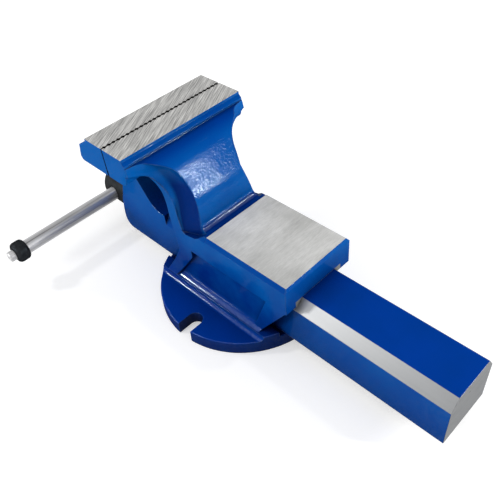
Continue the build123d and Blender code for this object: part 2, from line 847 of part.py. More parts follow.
with BuildPart() as handle_bar:
    along_handle(handle_near_tip_y, spigot_r, handle_length)
    fillet(handle_bar.edges().filter_by(GeomType.CIRCLE), tip_round)
    along_handle(handle_near_tip_y + spigot_length, handle_r, handle_length - 2 * spigot_length)


def handle_ring(y):
    """Rubber ring pressed over one of the handle's spigots."""
    along_handle(y, ring_r, ring_length)
    fillet(edges().filter_by(GeomType.CIRCLE), ring_round)
    along_handle(y, spigot_r + running_clearance, ring_length, mode=Mode.SUBTRACT)


with BuildPart() as near_handle_ring:
    handle_ring(handle_near_tip_y + spigot_length - ring_length)

with BuildPart() as far_handle_ring:
    handle_ring(handle_far_tip_y - spigot_length)

# ---------------------------------------------------------------- pieces

pieces = {
    "fixed_body": fixed_body,
    "fixed_jaw_plate": fixed_jaw_plate,
    "fixed_plate_screws": fixed_plate_screws,
    "nut_block": nut_block,
    "nut_screws": nut_screws,
    "sliding_jaw": sliding_jaw,
    "sliding_jaw_plate": sliding_jaw_plate,
    "sliding_plate_screws": sliding_plate_screws,
    "thrust_washer": thrust_washer,
    "spindle_spring": spindle_spring,
    "spring_seat": spring_seat,
    "lead_screw": lead_screw,
    "spindle_head": spindle_head,
    "head_pin": head_pin,
    "retaining_collar": retaining_collar,
    "collar_pin": collar_pin,
    "handle_bar": handle_bar,
    "near_handle_ring": near_handle_ring,
    "far_handle_ring": far_handle_ring,
}

for name, piece in pieces.items():
    piece.part.label = name
    export_step(piece.part, f"parts/{name}.step")
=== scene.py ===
"""Bench vise with a prismatic slide: its finishes, its cut thread, the studio and the camera.

Metres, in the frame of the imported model: the origin is the centre of the flange's underside,
+X runs along the slide bar to its closed end, +Y across the jaws and +Z up.
"""
import logging
import math
from collections.abc import Mapping
from dataclasses import dataclass, replace
from enum import Enum, IntEnum
from typing import Protocol

import bmesh
import bpy
from mathutils import Matrix, Vector


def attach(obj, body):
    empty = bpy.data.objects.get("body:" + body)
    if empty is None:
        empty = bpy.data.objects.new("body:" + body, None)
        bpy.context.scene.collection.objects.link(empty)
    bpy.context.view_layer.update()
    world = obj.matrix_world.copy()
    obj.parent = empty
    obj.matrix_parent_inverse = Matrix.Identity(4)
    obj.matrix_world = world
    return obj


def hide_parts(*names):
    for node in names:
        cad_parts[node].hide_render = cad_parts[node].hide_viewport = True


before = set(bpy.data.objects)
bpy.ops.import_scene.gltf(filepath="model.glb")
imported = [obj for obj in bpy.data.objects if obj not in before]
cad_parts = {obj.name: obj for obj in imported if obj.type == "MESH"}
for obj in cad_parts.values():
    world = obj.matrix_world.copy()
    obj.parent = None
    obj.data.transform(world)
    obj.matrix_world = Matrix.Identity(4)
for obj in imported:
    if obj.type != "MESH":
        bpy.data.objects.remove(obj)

report = logging.getLogger("bench_vise")

Colour = tuple[float, float, float]
Point = tuple[float, float, float]
Span = tuple[float, float]

MM = 0.001
MASK_RUN = 0.12 * MM  # width of the step between two finishes
FACE_DEPTH = 2.0 * MASK_RUN  # what lies this close under a ground face belongs to it
BEVEL_SAMPLES = 6
HOLLOW_SAMPLES = 4
OPEN_SPAN: Span = (0.38, 0.86)  # share of the sky that is seen in a hollow and on an open face
EDGE_SPAN: Span = (0.006, 0.16)  # how far the rounded normal turns from the face's own
SPECULAR = 0.5
NO_SPECULAR = 0.0  # for finishes whose film makes their gloss
FILM_TINT: Colour = (0.72, 0.89, 1.0)


class Axis(IntEnum):
    """An axis of the frame."""

    X = 0
    Y = 1
    Z = 2


class Grain(Enum):
    """Direction in which a face was ground or brushed, as the grain's angle from +X."""

    ALONG_SLIDE = 0.0
    ACROSS_SLIDE = 90.0
    DIAGONAL = 120.0


class Value:
    """One output of a node, with the arithmetic of plain numbers where it carries one."""

    def __init__(self, surface: "Surface", socket: bpy.types.NodeSocket) -> None:
        """Keeps the socket and the surface whose node tree it belongs to."""
        self.surface = surface
        self.socket = socket

    def _combine(self, operation: str, *operands: "Value | float") -> "Value":
        """Result of a Math node, given its operation and its inputs in order."""
        sockets = dict(enumerate(operands))
        return self.surface.node("ShaderNodeMath", {"operation": operation}, sockets)

    def __add__(self, other: "Value | float") -> "Value":
        """Sum of two values."""
        return self._combine("ADD", self, other)

    def __radd__(self, other: float) -> "Value":
        """Sum with a plain number on the left."""
        return self._combine("ADD", other, self)

    def __sub__(self, other: "Value | float") -> "Value":
        """Difference of two values."""
        return self._combine("SUBTRACT", self, other)

    def __rsub__(self, other: float) -> "Value":
        """Difference with a plain number on the left."""
        return self._combine("SUBTRACT", other, self)

    def __mul__(self, other: "Value | float") -> "Value":
        """Product of two values."""
        return self._combine("MULTIPLY", self, other)

    def __rmul__(self, other: float) -> "Value":
        """Product with a plain number on the left."""
        return self._combine("MULTIPLY", other, self)

    def __abs__(self) -> "Value":
        """Size of a value without its sign."""
        return self._combine("ABSOLUTE", self)

    def either(self, other: "Value | float") -> "Value":
        """The larger of two masks: inside one or the other."""
        return self._combine("MAXIMUM", self, other)

    def beyond(self, start: float, full: float) -> "Value":
        """Mask that rises from 0 at start to 1 at full, whichever is larger."""
        sockets = {"Value": self, "From Min": start, "From Max": full}
        return self.surface.node("ShaderNodeMapRange", {"clamp": True}, sockets)

    def past(self, level: float) -> "Value":
        """Mask of what lies above a level."""
        return self.beyond(level, level + MASK_RUN)

    def short_of(self, level: float) -> "Value":
        """Mask of what lies below a level."""
        return self.beyond(level, level - MASK_RUN)


class Surface:
    """The node tree of a material, or of the world, while it is drawn up.

    A Mix node's inputs share their names, so they go by number: 2 and 3 are the numbers that it
    mixes, 4 and 5 the vectors, and 6 and 7 the colours.
    """

    def __init__(self, owner: bpy.types.ID) -> None:
        """Starts from an empty node tree.

        Args:
            owner: the material or world that the tree belongs to.
        """
        owner.use_nodes = True
        self.owner = owner
        self.tree = owner.node_tree
        self.tree.nodes.clear()
        self._place: Value | None = None

    @classmethod
    def named(cls, name: str) -> "Surface":
        """Surface of a new material with that name."""
        return cls(bpy.data.materials.new(name))

    def add(
        self,
        kind: str,
        settings: Mapping[str, object] | None = None,
        sockets: Mapping[str | int, object] | None = None,
    ) -> bpy.types.Node:
        """Adds one node.

        Args:
            kind: the node's type.
            settings: its own settings.
            sockets: input sockets by name or number, each a Value to link or a plain value.

        Returns:
            The node.
        """
        made = self.tree.nodes.new(kind)
        for name, setting in (settings or {}).items():
            setattr(made, name, setting)
        for name, held in (sockets or {}).items():
            if isinstance(held, Value):
                self.tree.links.new(held.socket, made.inputs[name])
            else:
                made.inputs[name].default_value = held
        return made

    def node(
        self,
        kind: str,
        settings: Mapping[str, object] | None = None,
        sockets: Mapping[str | int, object] | None = None,
        output: str | int = 0,
    ) -> Value:
        """Adds one node for the sake of one of its outputs.

        Args:
            kind: the node's type.
            settings: its own settings.
            sockets: input sockets by name or number, each a Value to link or a plain value.
            output: the output socket that is handed back.

        Returns:
            That output.
        """
        return Value(self, self.add(kind, settings, sockets).outputs[output])

    def close(self, shader: Value) -> bpy.types.Material:
        """Puts the shader on the surface and hands back the material."""
        self.add("ShaderNodeOutputMaterial", sockets={"Surface": shader})
        return self.owner

    def place(self) -> Value:
        """Finds the point on the piece.

        Returns:
            The point, in the model's frame at rest.
        """
        if self._place is None:
            self._place = self.node("ShaderNodeTexCoord", output="Object")
        return self._place

    def normal(self) -> Value:
        """The face's own normal."""
        return self.node("ShaderNodeNewGeometry", output="Normal")

    def parts(self, vector: Value) -> tuple[Value, ...]:
        """A vector's x, y and z."""
        split = self.add("ShaderNodeSeparateXYZ", sockets={0: vector})
        return tuple(Value(self, output) for output in split.outputs)

    def axes(self) -> tuple[Value, ...]:
        """The point's x, y and z, in metres."""
        return self.parts(self.place())

    def facing(self, axis: Axis) -> Value:
        """How far the face looks along an axis: 1 along it, -1 against it."""
        return self.parts(self.normal())[axis]

    def noise(
        self, scale: float, detail: float = 2.0, rough: float = 0.5, at: Value | None = None
    ) -> Value:
        """Draws soft noise from 0 to 1.

        Args:
            scale: features per metre.
            detail: octaves.
            rough: share that each finer octave keeps.
            at: the point it is read at, or the plain place.

        Returns:
            The noise.
        """
        point = at or self.place()
        sockets = {"Vector": point, "Scale": scale, "Detail": detail, "Roughness": rough}
        return self.node("ShaderNodeTexNoise", sockets=sockets)

    def grain_point(self, grain: Grain, stretch: float) -> Value:
        """Squeezes the place along a grain, so that noise read there runs out into streaks.

        Args:
            grain: direction of the streaks.
            stretch: how many times longer than wide they are.

        Returns:
            The squeezed point.
        """
        turn = (0.0, 0.0, -math.radians(grain.value))
        turned = self.node("ShaderNodeMapping", sockets={"Vector": self.place(), "Rotation": turn})
        squeeze = (1.0 / stretch, 1.0, 1.0)
        return self.node("ShaderNodeMapping", sockets={"Vector": turned, "Scale": squeeze})

    def shade(self, mask: Value | float, low: Colour | Value, high: Colour | Value) -> Value:
        """Mixes two colours.

        Args:
            mask: 0 for the first colour, 1 for the second.
            low: the first colour.
            high: the second colour.

        Returns:
            The mixed colour.
        """
        first, second = (end if isinstance(end, Value) else (*end, 1.0) for end in (low, high))
        sockets = {0: mask, 6: first, 7: second}
        return self.node("ShaderNodeMix", {"data_type": "RGBA"}, sockets, output=2)

    def mix(self, mask: Value, low: Value | float, high: Value | float) -> Value:
        """Number between two numbers, the first where the mask is 0."""
        return self.node("ShaderNodeMix", {"data_type": "FLOAT"}, {0: mask, 2: low, 3: high})

    def rounded(self, radius: float) -> Value:
        """Normal with the edges rounded over to a radius."""
        return self.node("ShaderNodeBevel", {"samples": BEVEL_SAMPLES}, {"Radius": radius})

    def partly_rounded(self, radius: float, mask: Value) -> Value:
        """Normal with the edges rounded over where the mask is 1."""
        sockets = {0: mask, 4: self.normal(), 5: self.rounded(radius)}
        return self.node("ShaderNodeMix", {"data_type": "VECTOR"}, sockets, output=1)

    def open_sky(self, reach: float) -> Value:
        """Finds the hollows, where shade is painted into the colour.

        Args:
            reach: how far the hollow's other side may be away, in metres.

        Returns:
            A mask that is 0 deep inside hollows and 1 on open faces.
        """
        settings = {"samples": HOLLOW_SAMPLES}
        seen = self.node("ShaderNodeAmbientOcclusion", settings, {"Distance": reach}, output="AO")
        return seen.beyond(*OPEN_SPAN)

    def edge(self, radius: float) -> Value:
        """Finds the strip along each sharp edge.

        Args:
            radius: half the strip's width, in metres.

        Returns:
            A mask from 0 on flat faces to 1 at a square edge.
        """
        settings = {"operation": "DOT_PRODUCT"}
        normals = {0: self.rounded(radius), 1: self.normal()}
        same = self.node("ShaderNodeVectorMath", settings, normals, output="Value")
        return (1.0 - same).beyond(*EDGE_SPAN)

    def background(self) -> Value:
        """Tells the rays that see the background itself, or see it in metal or through glass.

        Returns:
            The mask of those rays.
        """
        paths = self.add("ShaderNodeLightPath").outputs
        kinds = ("Is Camera Ray", "Is Glossy Ray", "Is Transmission Ray")
        camera, glossy, through = (Value(self, paths[kind]) for kind in kinds)
        return camera.either(glossy).either(through)


@dataclass(frozen=True)
class Look:
    """What a finish gives each point of a surface."""

    colour: Value
    roughness: Value
    metallic: Value | float
    relief: Value
    film: Value | float = 0.0

    def under(self, other: "Look", mask: Value) -> "Look":
        """Lays another finish over this one.

        Args:
            other: the finish on top.
            mask: 1 where the other finish shows.

        Returns:
            The two finishes as one.
        """
        surface = mask.surface
        return Look(
            surface.shade(mask, self.colour, other.colour),
            surface.mix(mask, self.roughness, other.roughness),
            surface.mix(mask, self.metallic, other.metallic),
            surface.mix(mask, self.relief, other.relief),
            surface.mix(mask, self.film, other.film),
        )

    def finish(self, specular: float, normal: Value | None = None) -> bpy.types.Material:
        """Closes the surface with its shader, and with a blue-tinted gloss over it as a film.

        Args:
            specular: the shader's specular level, the same all over.
            normal: the normal that the relief stands on, or the mesh's own.

        Returns:
            The material.
        """
        surface = self.colour.surface
        bump = {"Strength": 1.0, "Distance": 1.0, "Height": self.relief}
        if normal is not None:
            bump["Normal"] = normal
        bumped = surface.node("ShaderNodeBump", sockets=bump)
        sockets = {
            "Base Color": self.colour,
            "Metallic": self.metallic,
            "Roughness": self.roughness,
            "Specular IOR Level": specular,
            "Normal": bumped,
        }
        shader = surface.node("ShaderNodeBsdfPrincipled", sockets=sockets)
        if self.film == 0.0:
            return surface.close(shader)
        gloss = surface.node(
            "ShaderNodeBsdfAnisotropic",
            {"distribution": "BECKMANN"},
            {"Color": (*FILM_TINT, 1.0), "Roughness": self.roughness, "Normal": bumped},
        )
        layers = {0: self.film, 1: shader, 2: gloss}
        return surface.close(surface.node("ShaderNodeMixShader", sockets=layers))


class Finish(Protocol):
    """Anything that gives a surface its look."""

    def look(self, surface: Surface) -> Look:
        """The finish as it is drawn on that surface."""


@dataclass(frozen=True)
class Enamel:
    """Glossy deep-blue enamel sprayed on a casting, with its orange peel.

    The film is the share of clear gloss over the paint. A span's ends are where its mask is 0 and
    where it is 1. Spans of upwardness run from 0 on upright faces to 1 on level ones, which take
    their own colours as painted light.
    """

    deep: Colour = (0.0002, 0.016, 0.170)
    bright: Colour = (0.0012, 0.086, 0.340)
    # painted light: level faces take their own copy of the paint colours, for how light falls on
    # them
    level_lit_deep: Colour = (0.0008, 0.042, 0.335)
    level_lit_bright: Colour = (0.0002, 0.035, 0.235)
    # painted shade: the colour laid into hollows where little sky is seen
    hollow: Colour = (0.0001, 0.005, 0.050)
    # thin paint and a painted highlight: the lighter blue laid along the edges
    worn_and_highlit: Colour = (0.006, 0.13, 0.42)
    wear_and_highlight: float = 0.3
    pool_scale: float = 24.0
    height_share: float = 0.6
    pooled_share: float = 0.8
    height_pool_span: Span = (0.3, 1.0)
    shade_reach: float = 70.0 * MM
    peel: float = 0.095 * MM
    peel_scale: float = 480.0
    wave: float = 0.16 * MM
    wave_scale: float = 70.0
    gloss: float = 0.045
    gloss_spread: float = 0.06
    gloss_scale: float = 160.0
    lustre: float = 0.0018
    grazing_lustre: float = 0.019
    level_lustre: float = 0.0008
    rounded_lustre: float = 0.050
    ledge_loss: float = 0.9
    glint_scale: float = 430.0
    glint_span: Span = (0.42, 0.58)
    dull_share: float = 0.65
    glint_share: float = 0.7
    level_span: Span = (0.30, 0.95)
    ledge_span: Span = (0.2, 0.4)
    shoulder_span: Span = (0.66, 0.80)
    not_level_span: Span = (0.985, 0.93)
    height_span: Span = (35.0 * MM, 110.0 * MM)
    ledge_height_span: Span = (157.0 * MM, 165.0 * MM)
    shoulder_height_span: Span = (130.0 * MM, 120.0 * MM)

    def colour(self, surface: Surface, z: Value, level: Value) -> Value:
        """Draws the paint, toned by height and pooling, with painted light on level faces and
        painted shade in hollows.

        Args:
            surface: the surface it goes on.
            z: height.
            level: mask of the level faces.

        Returns:
            The colour.
        """
        pool_and_shade = surface.noise(self.pool_scale, detail=3.0, rough=0.55)
        height = z.beyond(*self.height_span)
        # tone that shifts with height and with the pooling noise
        height_and_pool_tone = (height * self.height_share + pool_and_shade * self.pooled_share).beyond(*self.height_pool_span)
        steep_colour = surface.shade(height_and_pool_tone, self.deep, self.bright)
        # painted light: level faces get their own lit colour
        level_lit_colour = surface.shade(height_and_pool_tone, self.level_lit_deep, self.level_lit_bright)
        colour = surface.shade(level, steep_colour, level_lit_colour)
        # painted shade in the hollows
        return surface.shade(surface.open_sky(self.shade_reach), self.hollow, colour)

    def film(self, surface: Surface, level: Value, rounded: Value, under_ledge: Value) -> Value:
        """Draws the film: faint on level faces, strong on rounded ones, none under the ledge.

        Args:
            surface: the surface it goes on.
            level: mask of the level faces.
            rounded: mask of the shoulders and edges.
            under_ledge: mask of the fillet under the fixed jaw's ledge.

        Returns:
            The film's share.
        """
        grazing = surface.node("ShaderNodeLayerWeight", output="Facing")
        film = surface.mix(level, self.lustre + self.grazing_lustre * grazing, self.level_lustre)
        film = film * (1.0 - self.ledge_loss * under_ledge)
        film = surface.mix(rounded, film, self.rounded_lustre)
        glint = surface.noise(self.glint_scale, detail=1.0, rough=0.4).beyond(*self.glint_span)
        return film * (self.dull_share + self.glint_share * glint)

    def look(self, surface: Surface, edge: Value | None = None) -> Look:
        """Draws the enamel.

        Args:
            surface: the surface it goes on.
            edge: mask of the edges, where the paint is thin and a lighter blue is painted as
                highlight.

        Returns:
            Its look.
        """
        z = surface.axes()[Axis.Z]
        upward = surface.facing(Axis.Z)
        level = upward.beyond(*self.level_span)
        under_ledge = upward.beyond(*self.ledge_span) * z.beyond(*self.ledge_height_span)
        rounded = upward.beyond(*self.shoulder_span) * upward.beyond(*self.not_level_span)
        rounded = rounded * z.beyond(*self.shoulder_height_span)
        colour = self.colour(surface, z, level)
        if edge is not None:
            # thin paint and a painted highlight along the edges
            colour = surface.shade(edge * self.wear_and_highlight, colour, self.worn_and_highlit)
            rounded = rounded.either(edge)
        peel = surface.noise(self.peel_scale, detail=1.0, rough=0.45)
        wave = surface.noise(self.wave_scale, detail=1.0, rough=0.4)
        return Look(
            colour,
            self.gloss + self.gloss_spread * surface.noise(self.gloss_scale),
            0.0,
            peel * self.peel + wave * self.wave,
            self.film(surface, level, rounded, under_ledge),
        )


@dataclass(frozen=True)
class GroundSteel:
    """Bare steel or iron, ground or brushed in one direction.

    The streaks are fine ones mixed with an uneven share of broad ones and a cloudy share of
    blotches, with darker scratches among them.
    """

    grain: Grain
    dark: Colour = (0.40, 0.40, 0.39)
    light: Colour = (0.64, 0.64, 0.63)
    roughness: float = 0.36
    roughness_spread: float = 0.16
    streak: float = 900.0
    stretch: float = 16.0
    depth: float = 0.006 * MM
    uneven: float = 0.35
    broad_streak: float = 0.2
    cloudy: float = 0.15
    cloud_scale: float = 24.0
    tone_span: Span = (0.34, 0.66)
    scratched: float = 0.3
    scratch_streak: float = 0.8
    scratch_span: Span = (0.56, 0.66)
    metallic: float = 1.0

    def look(self, surface: Surface) -> Look:
        """Draws the ground face.

        Args:
            surface: the surface it goes on.

        Returns:
            Its look.
        """
        point = surface.grain_point(self.grain, self.stretch)
        streaks = surface.noise(self.streak, detail=3.0, rough=0.62, at=point)
        broad = surface.noise(self.streak * self.broad_streak, at=point)
        cloud = surface.noise(self.cloud_scale)
        brushed = streaks * (1.0 - self.uneven) + broad * self.uneven
        tone = (brushed * (1.0 - self.cloudy) + cloud * self.cloudy).beyond(*self.tone_span)
        scratch = surface.noise(self.streak * self.scratch_streak, detail=1.0, rough=0.4, at=point)
        kept = 1.0 - self.scratched * scratch.beyond(*self.scratch_span)
        colour = surface.shade(tone * kept, self.dark, self.light)
        roughness = self.roughness + self.roughness_spread * streaks
        return Look(colour, roughness, self.metallic, streaks * self.depth)


@dataclass(frozen=True)
class BareIron:
    """Machined or rough cast iron that was never painted."""

    dark: Colour = (0.10, 0.10, 0.105)
    light: Colour = (0.24, 0.24, 0.24)
    cloud_scale: float = 60.0
    cloud_share: float = 0.6
    grit_scale: float = 900.0
    grit_share: float = 0.4
    tone_span: Span = (0.3, 0.7)
    roughness: float = 0.5
    roughness_spread: float = 0.2
    metallic: float = 0.85
    grit: float = 0.03 * MM

    def look(self, surface: Surface) -> Look:
        """Draws the iron.

        Args:
            surface: the surface it goes on.

        Returns:
            Its look.
        """
        grit = surface.noise(self.grit_scale, detail=3.0, rough=0.6)
        cloud = surface.noise(self.cloud_scale, detail=3.0, rough=0.6)
        tone = (cloud * self.cloud_share + grit * self.grit_share).beyond(*self.tone_span)
        colour = surface.shade(tone, self.dark, self.light)
        roughness = self.roughness + self.roughness_spread * grit
        return Look(colour, roughness, self.metallic, grit * self.grit)


@dataclass(frozen=True)
class TurnedSteel:
    """Steel turned on a lathe, bright or blackened, with fine rings round the slide's axis."""

    dark: Colour
    light: Colour
    roughness: float
    roughness_spread: float = 0.12
    metallic: float = 1.0
    mottle: float = 140.0
    mottle_share: float = 0.7
    rings: float = 1400.0
    ring_share: float = 0.3
    ring_depth: float = 0.002 * MM
    tone_span: Span = (0.3, 0.7)
    lustre: float = 0.0

    def look(self, surface: Surface) -> Look:
        """Draws the turned face.

        Args:
            surface: the surface it goes on.

        Returns:
            Its look.
        """
        along = {"W": surface.axes()[Axis.X], "Scale": self.rings, "Detail": 2.0}
        rings = surface.node("ShaderNodeTexNoise", {"noise_dimensions": "1D"}, along)
        mottle = surface.noise(self.mottle, detail=3.0, rough=0.6)
        tone = (mottle * self.mottle_share + rings * self.ring_share).beyond(*self.tone_span)
        colour = surface.shade(tone, self.dark, self.light)
        roughness = self.roughness + self.roughness_spread * mottle
        return Look(colour, roughness, self.metallic, rings * self.ring_depth, self.lustre)


@dataclass(frozen=True)
class MouldedRubber:
    """Black rubber with a fine moulded grain and a little dust."""

    dark: Colour = (0.006, 0.006, 0.007)
    light: Colour = (0.020, 0.020, 0.022)
    dust_scale: float = 190.0
    dust_span: Span = (0.35, 0.75)
    roughness: float = 0.32
    roughness_spread: float = 0.18
    grain: float = 0.012 * MM
    grain_scale: float = 1500.0
    lustre: float = 0.012

    def look(self, surface: Surface) -> Look:
        """Draws the rubber.

        Args:
            surface: the surface it goes on.

        Returns:
            Its look.
        """
        grain = surface.noise(self.grain_scale)
        dust = surface.noise(self.dust_scale, detail=3.0, rough=0.6)
        colour = surface.shade(dust.beyond(*self.dust_span), self.dark, self.light)
        roughness = self.roughness + self.roughness_spread * dust
        return Look(colour, roughness, 0.0, grain * self.grain, self.lustre)


# painted shade: a darker copy of the enamel for the hollow sides of the web
SHADED_WEB_ENAMEL = Enamel(
    deep=(0.0001, 0.008, 0.095),
    bright=(0.0002, 0.020, 0.165),
    level_lit_deep=(0.0001, 0.008, 0.095),
    level_lit_bright=(0.0002, 0.020, 0.165),
    grazing_lustre=0.004,
)
SLIDE_ENAMEL = Enamel(deep=(0.002, 0.052, 0.275), peel=0.03 * MM, wave=0.12 * MM)
JAW_STEEL = GroundSteel(
    Grain.DIAGONAL,
    dark=(0.20, 0.20, 0.198),
    light=(0.66, 0.655, 0.64),
    streak=1500.0,
    stretch=34.0,
    roughness=0.5,
    uneven=0.1,
    cloudy=0.05,
    scratched=0.65,
)
ANVIL_STEEL = GroundSteel(
    Grain.ACROSS_SLIDE,
    roughness=0.64,
    streak=1400.0,
    stretch=8.0,
    cloudy=0.5,
    metallic=0.7,
)
# painted highlight: a lighter copy of the anvil steel for the broad gleam across the pad's front
ANVIL_HIGHLIGHT_STEEL = replace(ANVIL_STEEL, dark=(0.55, 0.55, 0.54), light=(0.80, 0.80, 0.79))
WAY_STEEL = GroundSteel(
    Grain.ALONG_SLIDE,
    dark=(0.30, 0.305, 0.31),
    light=(0.37, 0.375, 0.38),
    streak=60.0,
    stretch=14.0,
    depth=0.0,
)
# painted shade: a darker copy of the bevel steel toward the bar's rear end
WAY_SHADED_END_STEEL = replace(WAY_STEEL, dark=(0.20, 0.205, 0.21), light=(0.25, 0.255, 0.26))
END_STEEL = GroundSteel(
    Grain.ACROSS_SLIDE, dark=(0.11, 0.115, 0.12), light=(0.18, 0.185, 0.19), roughness=0.42
)
# painted shade: near-black steel for the serrated faces that lie in the shade of the jaw seam
SHADED_TOOTH_STEEL = GroundSteel(
    Grain.ACROSS_SLIDE, dark=(0.008, 0.008, 0.008), light=(0.03, 0.03, 0.03), roughness=0.5
)
# streaky plating and painted reflection: long dark and bright bands along the handle
PLATED_STEEL_PAINTED_BANDS = GroundSteel(
    Grain.ACROSS_SLIDE,
    dark=(0.17, 0.17, 0.175),
    light=(0.88, 0.88, 0.89),
    roughness=0.22,
    streak=150.0,
    stretch=36.0,
    cloudy=0.1,
    metallic=0.6,
)
BRIGHT_STEEL = TurnedSteel((0.42, 0.42, 0.42), (0.66, 0.66, 0.65), 0.26)
SPRING_STEEL = TurnedSteel((0.10, 0.10, 0.11), (0.24, 0.24, 0.25), 0.34)
BLACK_OXIDE = TurnedSteel((0.015, 0.015, 0.016), (0.045, 0.045, 0.046), 0.36, metallic=0.4)
BLACK_HEAD = TurnedSteel(
    (0.010, 0.010, 0.010), (0.026, 0.025, 0.025), 0.34, metallic=0.0, lustre=0.012
)


def dress(material: bpy.types.Material, *nodes: str) -> None:
    """Gives nodes of the model their material.

    Args:
        material: the material for all of each node.
        nodes: the nodes' names.
    """
    for node in nodes:
        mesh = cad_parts[node].data
        mesh.materials.clear()
        mesh.materials.append(material)


def plain_material(
    name: str, finish: Finish, specular: float = SPECULAR, edge_round: float | None = None
) -> bpy.types.Material:
    """Makes a material with one finish all over.

    Args:
        name: the material's name.
        finish: the finish.
        specular: the shader's specular level.
        edge_round: radius that the edges are rounded to, or None for sharp ones.

    Returns:
        The material.
    """
    surface = Surface.named(name)
    normal = None if edge_round is None else surface.rounded(edge_round)
    return finish.look(surface).finish(specular, normal)


@dataclass
class BodyCasting:
    """The fixed casting: flange, tunnel walls, legs, ribs, anvil, web and jaw block."""

    jaw_top: float = 180.5 * MM
    jaw_seam_x: float = -80.0 * MM
    seam_span: Span = (1.5 * MM, 3.0 * MM)
    pad_top: float = 99.7 * MM
    pad_front_x: float = -0.9 * MM
    # reach of the painted highlight back from the pad's front edge
    front_highlight: float = 38.0 * MM
    front_highlight_slant: float = 0.4
    tunnel_half: float = 31.9 * MM
    tunnel_floor: float = 15.3 * MM
    tunnel_roof: float = 74.7 * MM
    web_side_spans: tuple[Span, Span] = ((0.01, 0.05), (0.86, 0.72))
    web_foot_span: Span = (79.7 * MM, 87.7 * MM)
    web_head_span: Span = (155.7 * MM, 139.7 * MM)
    web_root: float = 4.0 * MM
    # strength of the painted shade on the web's hollow sides
    pool_and_shade: float = 0.95
    edge_round: float = 1.6 * MM
    worn_and_highlit_edge: float = 0.7 * MM

    def machined(self, y: Value, z: Value) -> Value:
        """Finds the faces that were machined and never painted.

        Args:
            y: place across.
            z: height.

        Returns:
            Their mask.
        """
        tunnel = abs(y).short_of(self.tunnel_half + MASK_RUN)
        tunnel = tunnel * z.short_of(self.tunnel_roof + MASK_RUN) * z.past(self.tunnel_floor)
        return tunnel.either(z.short_of(FACE_DEPTH))

    def shaded_web_sides(self, surface: Surface, x: Value, z: Value) -> Value:
        """Finds the hollow sides of the web, where a darker blue is painted as shade.

        Args:
            surface: the surface that is drawn up.
            x: place along the slide.
            z: height.

        Returns:
            Their mask.
        """
        rearward = surface.facing(Axis.X)
        least, most = self.web_side_spans
        hollow = rearward.beyond(*least) * rearward.beyond(*most)
        hollow = hollow * z.beyond(*self.web_foot_span) * z.beyond(*self.web_head_span)
        return hollow * x.beyond(self.pad_front_x, self.pad_front_x - self.web_root)

    def dress(self) -> None:
        """Paints the casting and bares its ground and machined faces."""
        surface = Surface.named("enamelled_body_casting")
        x, y, z = surface.axes()
        land = z.past(self.jaw_top - FACE_DEPTH)
        pad = abs(z - self.pad_top).short_of(FACE_DEPTH) * x.past(self.pad_front_x)
        slanted = x + self.front_highlight_slant * abs(y)
        # painted highlight across the front of the anvil pad
        front = slanted.beyond(self.pad_front_x + self.front_highlight, self.pad_front_x)
        look = Enamel().look(surface, surface.edge(self.worn_and_highlit_edge) * (1.0 - land))
        # painted shade on the web's hollow sides
        pool_and_shade = self.shaded_web_sides(surface, x, z) * self.pool_and_shade
        look = look.under(SHADED_WEB_ENAMEL.look(surface), pool_and_shade)
        look = look.under(BareIron().look(surface), self.machined(y, z))
        look = look.under(ANVIL_STEEL.look(surface), pad)
        look = look.under(ANVIL_HIGHLIGHT_STEEL.look(surface), pad * front)
        look = look.under(JAW_STEEL.look(surface), land)
        apart = abs(x - self.jaw_seam_x).beyond(*self.seam_span)
        normal = surface.partly_rounded(self.edge_round, apart * (1.0 - land) * (1.0 - pad))
        dress(look.finish(NO_SPECULAR, normal), "fixed_body")


